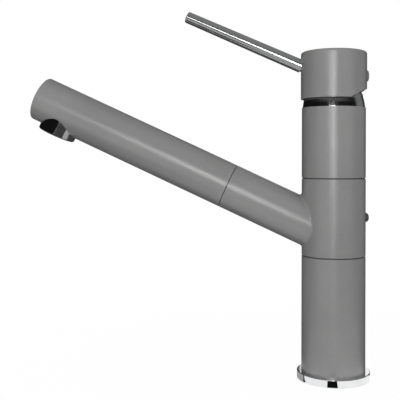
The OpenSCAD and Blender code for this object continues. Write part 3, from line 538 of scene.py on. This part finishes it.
def welded_swivel_body():
    """Middle section with the arm, with the small weld fillet that runs round their joint."""
    up = (0, 0, 1)
    body = bar(
        "welded_swivel_body", COLUMN_R, (0, 0, SWIVEL_LOW), up, SWIVEL_H, COLUMN_SIDES,
    )
    arm = bar("arm", SPOUT_R, SPOUT_FOOT, SPOUT_AXIS, ARM_END, ARM_SIDES)
    applied(body, "BOOLEAN", operation="UNION", object=arm, solver="EXACT")
    bpy.data.objects.remove(arm)
    mesh = body.data
    pick(body)
    clear_picks("EDGE")
    joint = [on_weld(v.co) for v in mesh.vertices]
    for edge in mesh.edges:
        edge.select = all(joint[v] for v in edge.vertices)
    mode("EDIT")
    bpy.ops.mesh.bevel(
        offset=WELD_WIDTH * MM, offset_type="WIDTH", segments=WELD_STEPS, profile=0.5,
        affect="EDGES", clamp_overlap=False,
    )
    # Level cuts keep the faces round the weld short, so that the wall beside it shades evenly
    for cut in range(1, WALL_CUTS):
        bpy.ops.mesh.select_all(action="SELECT")
        level = SWIVEL_LOW + SWIVEL_H * cut / WALL_CUTS
        bpy.ops.mesh.bisect(plane_co=(0, 0, level * MM), plane_no=up)
    mode("OBJECT")
    bore_foot = (0, 0, SWIVEL_LOW - OVERRUN)
    for tool in (
        ("bore", SWIVEL_BORE_R, bore_foot, up, SWIVEL_H + 2 * OVERRUN, COLUMN_SIDES),
        ("arm_bore", ARM_BORE_R, SPOUT_FOOT, SPOUT_AXIS, ARM_END + OVERRUN, ARM_SIDES),
        ("screw_hole", STOP_BORE_R, (0, 0, STOP_Z), (1, 0, 0), COLUMN_R + OVERRUN, SCREW_SIDES),
    ):
        cut_away(body, bar(*tool))
    tidy_normals(body)
    smoothed(body, 30)
    applied(body, "WEIGHTED_NORMAL", keep_sharp=True, weight=60)
    mesh.materials.clear()
    mesh.materials.append(FINISHES["grey_paint"].material)
    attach(body, "spout")
    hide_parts("swivel_body")


def ring_of(name, radius, sides, location, rotation=(0.0, 0.0, 0.0), fill="NOTHING"):
    """Ring, open or filled, selected in edit mode, ready to be drawn out."""
    bpy.ops.object.select_all(action="DESELECT")
    bpy.ops.mesh.primitive_circle_add(
        vertices=sides, radius=radius * MM, fill_type=fill, location=location, rotation=rotation,
    )
    ring = bpy.context.object
    ring.name = name
    settle()
    mode("EDIT")
    bpy.ops.mesh.select_all(action="SELECT")
    return ring


def draw_out(way, length, steps):
    """Extrude the selected ring in a straight run."""
    for _ in range(steps):
        step = Vector(way) * length / steps * MM
        bpy.ops.mesh.extrude_region_move(TRANSFORM_OT_translate={"value": tuple(step)})


def hose_piece(hose, start, end):
    """Give a drawn run of hose its wall and its braid."""
    mode("OBJECT")
    tidy_normals(hose)
    applied(hose, "SOLIDIFY", thickness=HOSE_WALL * MM, offset=-1.0)
    smoothed(hose, 30)
    hose.data.materials.append(FINISHES["hose_braid"].material)
    tuple(start * MM)
    tuple(end * MM)
    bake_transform(hose)
    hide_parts("pullout_hose")


def braided_hose():
    """Hose in two runs: up the column and through its bend, then along the arm to the handset."""
    turn = math.pi / 2 - RISE
    arc_x = HOSE_X - HOSE_BEND_R + HOSE_BEND_R * math.cos(turn)
    arc_z = SPOUT_Z - arc_x * math.tan(RISE)
    bend_z = arc_z - HOSE_BEND_R * math.sin(turn)
    joint_t = -arc_x / math.cos(RISE)

    rising = ring_of("rising_hose", HOSE_R, HOSE_SIDES, (HOSE_X * MM, 0, HOSE_LOW * MM))
    draw_out((0, 0, 1), bend_z - HOSE_LOW, RISING_STEPS)
    centre = ((HOSE_X - HOSE_BEND_R) * MM, 0, bend_z * MM)
    bpy.ops.mesh.spin(steps=BEND_STEPS, angle=turn, center=centre, axis=(0, 1, 0))
    hose_piece(
        rising, Vector((HOSE_X, 0, bend_z)), Vector((arc_x, 0, arc_z)),
    )

    joint = (SPOUT_FOOT + SPOUT_AXIS * joint_t) * MM
    pulled = ring_of("braided_hose", HOSE_R, HOSE_SIDES, joint, ALONG_SPOUT)
    draw_out(SPOUT_AXIS, HOSE_END - joint_t, ARM_STEPS)
    start, end = (
        SPOUT_FOOT + SPOUT_AXIS * (joint_t + run) for run in (STRETCH_FROM, STRETCH_TO)
    )
    hose_piece(pulled, start, end)


def valve_spring():
    """Spring of the check valve, wound along the spout's axis between its low and high ends."""
    wire_at = (COIL_R * MM, 0, 0)
    spring = ring_of("valve_spring", WIRE_R, WIRE_SIDES, wire_at, (math.pi / 2, 0, 0), "NGON")
    count = COIL_TURNS * COIL_STEPS
    for _ in range(count):
        draw_out((0, 0, 1), (SPRING_HIGH - SPRING_LOW) / count, 1)
        bpy.ops.transform.rotate(
            value=-math.tau / COIL_STEPS, orient_axis="Z", center_override=(0, 0, 0),
        )
    mode("OBJECT")
    spring.rotation_euler = ALONG_SPOUT
    spring.location = (SPOUT_FOOT + SPOUT_AXIS * SPRING_LOW) * MM
    pick(spring)
    settle()
    tidy_normals(spring)
    smoothed(spring, 50)
    spring.data.materials.append(FINISHES["steel"].material)
    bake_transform(spring)
    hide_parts("check_valve_spring")


def stage_floor():
    """White paper: at its own colour for the camera and for metal, with the tap's shadow."""
    bpy.ops.object.select_all(action="DESELECT")
    bpy.ops.mesh.primitive_plane_add(size=FLOOR_SIZE, location=(0, 0, 0))
    floor = bpy.context.object
    floor.name = "floor"
    paper = Finish("floor_paper")
    camera_ray, glossy_ray = (
        paper.node("ShaderNodeLightPath", {}, {}, kind)
        for kind in ("Is Camera Ray", "Is Glossy Ray")
    )
    far = paper.node("ShaderNodeVectorMath", {"operation": "LENGTH"}, {0: paper.place}, "Value")
    glow = far.step(GLOW_FROM, GLOW_TO, PAPER_GLOW, 1.0) * camera_ray.math("MAXIMUM", glossy_ray)
    tone = paper.mix(camera_ray, grey_scale(PAPER_BOUNCE), grey_scale(1.0))
    lit = paper.node("ShaderNodeBsdfDiffuse", {}, {"Color": tone})
    shown = paper.node("ShaderNodeEmission", {}, {"Color": (1.0, 1.0, 1.0, 1.0)})
    paper.only(paper.node("ShaderNodeMixShader", {}, {0: glow, 1: lit, 2: shown}))
    floor.data.materials.append(paper.material)


def wall_tone(card):
    """Dark low on the studio's wall and grey high up, with a lighter side to the right behind."""
    side = card.part(0).step(SIDE_FROM, SIDE_TO, 0.0, SIDE_GLOW)
    behind = card.part(1).step(-SIDE_BLUR, SIDE_BLUR)
    return card.part(2).step(WALL_FROM, WALL_TO, WALL_LOW, WALL_HIGH) + side * behind


def card_material(name, tone):
    """Card that lamps don't light, of one grey or of a tone that depends on the place."""
    card = Finish(name)
    strength = tone(card) if callable(tone) else tone
    card.only(card.node("ShaderNodeEmission", {}, {"Strength": strength}))
    # Dark cards are sampled as lamps too, which Cycles by itself does with bright ones only
    card.material.cycles.emission_sampling = "FRONT_BACK"
    return card.material


def as_flag(card, name, material):
    """Seen only in reflections: it takes no light from the tap or the floor."""
    card.name = name
    card.data.materials.append(material)
    card.visible_camera = False
    card.visible_diffuse = False
    card.visible_transmission = False
    card.visible_shadow = False


def studio_room():
    """Round room without a floor, open behind the tap up to OPENING_TOP."""
    bpy.ops.object.select_all(action="DESELECT")
    bpy.ops.mesh.primitive_cylinder_add(
        vertices=ROOM_SIDES, radius=ROOM_R, depth=ROOM_H, location=(0, 0, ROOM_H / 2),
        end_fill_type="TRIFAN",
    )
    room = bpy.context.object
    settle()
    mode("EDIT")
    bpy.ops.mesh.select_all(action="SELECT")
    bpy.ops.mesh.bisect(plane_co=(0, 0, OPENING_TOP), plane_no=(0, 0, 1))
    mode("OBJECT")
    clear_picks("FACE")
    for face in room.data.polygons:
        x, y, z = face.center
        behind = y > 0 and OPENING_FROM < math.degrees(math.atan2(x, y)) < OPENING_TO
        on_floor = z < 0.01
        face.select = on_floor or (behind and z < OPENING_TOP)
    mode("EDIT")
    bpy.ops.mesh.delete(type="FACE")
    mode("OBJECT")
    return room


def round_card(inner, outer, height, kept):
    """Level disc or ring, of which one side of the plane y = CARD_SPLIT may be cut off."""
    bpy.ops.object.select_all(action="DESELECT")
    bpy.ops.mesh.primitive_circle_add(
        vertices=CARD_SIDES, radius=outer, fill_type="NGON", location=(0, 0, height * MM),
    )
    card = bpy.context.object
    mode("EDIT")
    bpy.ops.mesh.select_all(action="SELECT")
    if inner:
        bpy.ops.mesh.inset(thickness=outer - inner)
        bpy.ops.mesh.delete(type="FACE")
    if kept != "both":
        bpy.ops.mesh.select_all(action="SELECT")
        bpy.ops.mesh.bisect(
            plane_co=(0, CARD_SPLIT * MM, 0), plane_no=(0, 1, 0),
            clear_outer=kept == "front", clear_inner=kept == "rear",
        )
    mode("OBJECT")
    return card


def straight_card(at, size, turn):
    """Level card, its place and size in millimetres and its turn in degrees."""
    bpy.ops.object.select_all(action="DESELECT")
    bpy.ops.mesh.primitive_plane_add(
        size=1.0, location=[c * MM for c in at], rotation=(0, 0, math.radians(turn)),
    )
    card = bpy.context.object
    card.scale = (size[0] * MM, size[1] * MM, 1.0)
    settle()
    return card


def wedge_card():
    """Card that widens towards the camera: the dark block in the ring's front."""
    wedge = straight_card(WEDGE_AT, WEDGE_SIZE, WEDGE_TURN)
    clear_picks("VERT")
    for corner in wedge.data.vertices:
        corner.select = corner.co.y < WEDGE_AT[1] * MM
    mode("EDIT")
    bpy.ops.transform.translate(value=(WEDGE_REACH[0] * MM, WEDGE_REACH[1] * MM, 0))
    bpy.ops.transform.resize(value=(WEDGE_SPREAD, WEDGE_SPREAD, 1.0))
    mode("OBJECT")
    return wedge


def stage_flags():
    """Dark studio round the tap, open behind it so that the background shows in the metal."""
    cards = {
        name: card_material(name, tone)
        for name, tone in (
            ("studio_wall", wall_tone), ("black_card", BLACK),
            ("middle_card", MIDDLE_GREY), ("table_card", TABLE_GREY),
        )
    }
    as_flag(studio_room(), "studio_room", cards["studio_wall"])
    for name, inner, outer, height, tone, kept in ROUND_CARDS:
        as_flag(round_card(inner, outer, height, kept), name, cards[tone])
    as_flag(wedge_card(), "wedge_flag", cards["black_card"])
    for name, at, size, turn, tone in STRAIGHT_CARDS:
        as_flag(straight_card(at, size, turn), name, cards[tone])


def studio_world():
    """White background for the camera and for metal, softer light from all round."""
    world = bpy.data.worlds.new("studio")
    bpy.context.scene.world = world
    world.use_nodes = True
    tree = world.node_tree
    back = tree.nodes["Background"]
    path = tree.nodes.new("ShaderNodeLightPath")
    seen = tree.nodes.new("ShaderNodeMath")
    seen.operation = "MAXIMUM"
    seen.use_clamp = True
    strength = tree.nodes.new("ShaderNodeMix")
    strength.data_type = "FLOAT"
    strength.inputs[2].default_value = WORLD_LIGHT
    strength.inputs[3].default_value = 1.0
    tree.links.new(path.outputs["Is Camera Ray"], seen.inputs[0])
    tree.links.new(path.outputs["Is Glossy Ray"], seen.inputs[1])
    tree.links.new(seen.outputs[0], strength.inputs[0])
    tree.links.new(strength.outputs[0], back.inputs["Strength"])
    back.inputs["Color"].default_value = (1.0, 1.0, 1.0, 1.0)


def softbox(name, bearing, distance, height, size, power, mirrored, tilt):
    """Soft lamp aimed at the tap."""
    turn = math.radians(bearing)
    at = Vector((distance * math.sin(turn), -distance * math.cos(turn), height))
    light = bpy.data.lights.new(name, "AREA")
    light.shape = "RECTANGLE"
    light.size, light.size_y = size
    light.energy = power
    lamp = bpy.data.objects.new(name, light)
    lamp.location = at
    aim = (LAMP_AIM - at).to_track_quat("-Z", "Y")
    lamp.rotation_euler = (aim @ Quaternion((0, 0, 1), math.radians(tilt))).to_euler()
    lamp.visible_glossy = mirrored
    bpy.context.scene.collection.objects.link(lamp)


def photographer():
    """Level camera half a metre in front of the tap, framed off its centre as the photo is."""
    camera = bpy.data.cameras.new("camera")
    camera.sensor_width = SENSOR_MM
    camera.lens = FOCAL_PX / PHOTO_PX * SENSOR_MM
    camera.shift_x, camera.shift_y = (shift / PHOTO_PX for shift in SHIFT_PX)
    camera.clip_start = 0.01
    body = bpy.data.objects.new("camera", camera)
    body.location = [c * MM for c in CAMERA_AT]
    body.rotation_euler = [math.radians(turn) for turn in CAMERA_TURN]
    bpy.context.scene.collection.objects.link(body)
    bpy.context.scene.camera = body


paint_cad_nodes()
welded_swivel_body()
braided_hose()
valve_spring()
stage_floor()
stage_flags()
studio_world()
for lamp in LAMPS:
    softbox(*lamp)
photographer()
bpy.context.scene.view_settings.view_transform = "Standard"
